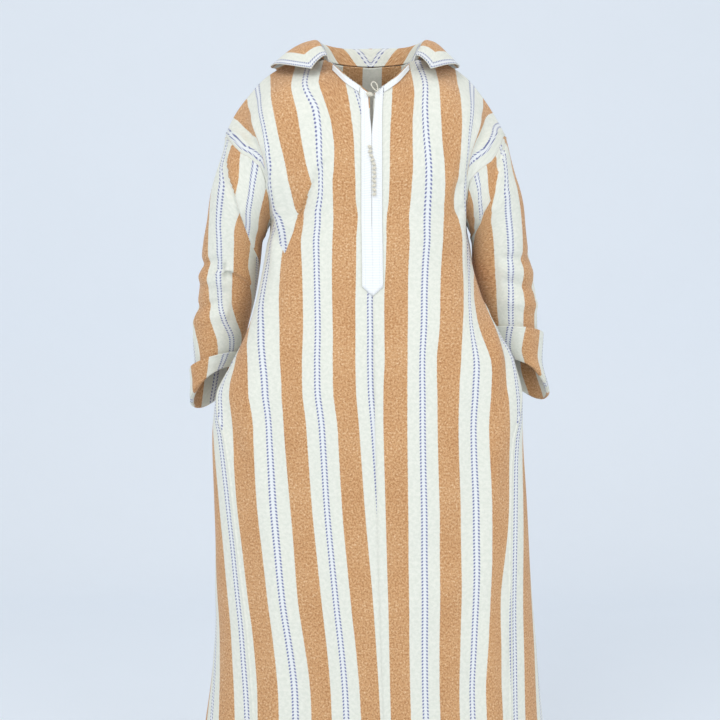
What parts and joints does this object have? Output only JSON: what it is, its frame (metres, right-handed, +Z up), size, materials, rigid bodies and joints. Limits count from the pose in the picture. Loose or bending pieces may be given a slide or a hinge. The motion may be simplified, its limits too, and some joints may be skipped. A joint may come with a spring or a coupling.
{
  "type": "djellaba robe",
  "caption": "Long hooded striped wool robe, worn: wide sleeves with turned-back cuffs, braid placket with knot buttons, side slits and a hood thrown back.",
  "frame": {"origin": "the middle of the wearer's neck, level with the sides of the neck opening, where the robe is held up", "axes": "+Z up along the wearer's back, -Y the way the wearer faces, +X to the wearer's left"},
  "size_m": [0.679, 0.373, 1.4441],
  "materials": {
    "striped_cloth": "matt wool with golden brown and cream stripes",
    "hood_cloth": "matt wool, the same striped cloth",
    "white_braid": "ribbed white braid",
    "cream_cord": "soft satin cord"
  },
  "bodies": {
    "root": {"back": "striped_cloth", "front_left": "striped_cloth", "front_right": "striped_cloth", "gore_left": "striped_cloth", "gore_right": "striped_cloth", "sleeve_left": "striped_cloth", "sleeve_right": "striped_cloth", "hood": "hood_cloth", "placket_left": "white_braid", "placket_right": "white_braid", "neck_trim_left": "white_braid", "neck_trim_right": "white_braid", "button_01": "cream_cord", "button_02": "cream_cord", "button_03": "cream_cord", "button_04": "cream_cord", "button_05": "cream_cord", "button_06": "cream_cord", "button_07": "cream_cord", "button_08": "cream_cord", "button_09": "cream_cord", "button_10": "cream_cord", "button_11": "cream_cord", "button_12": "cream_cord", "button_top": "cream_cord", "cord_loop": "cream_cord"}
  },
  "joints": []
}
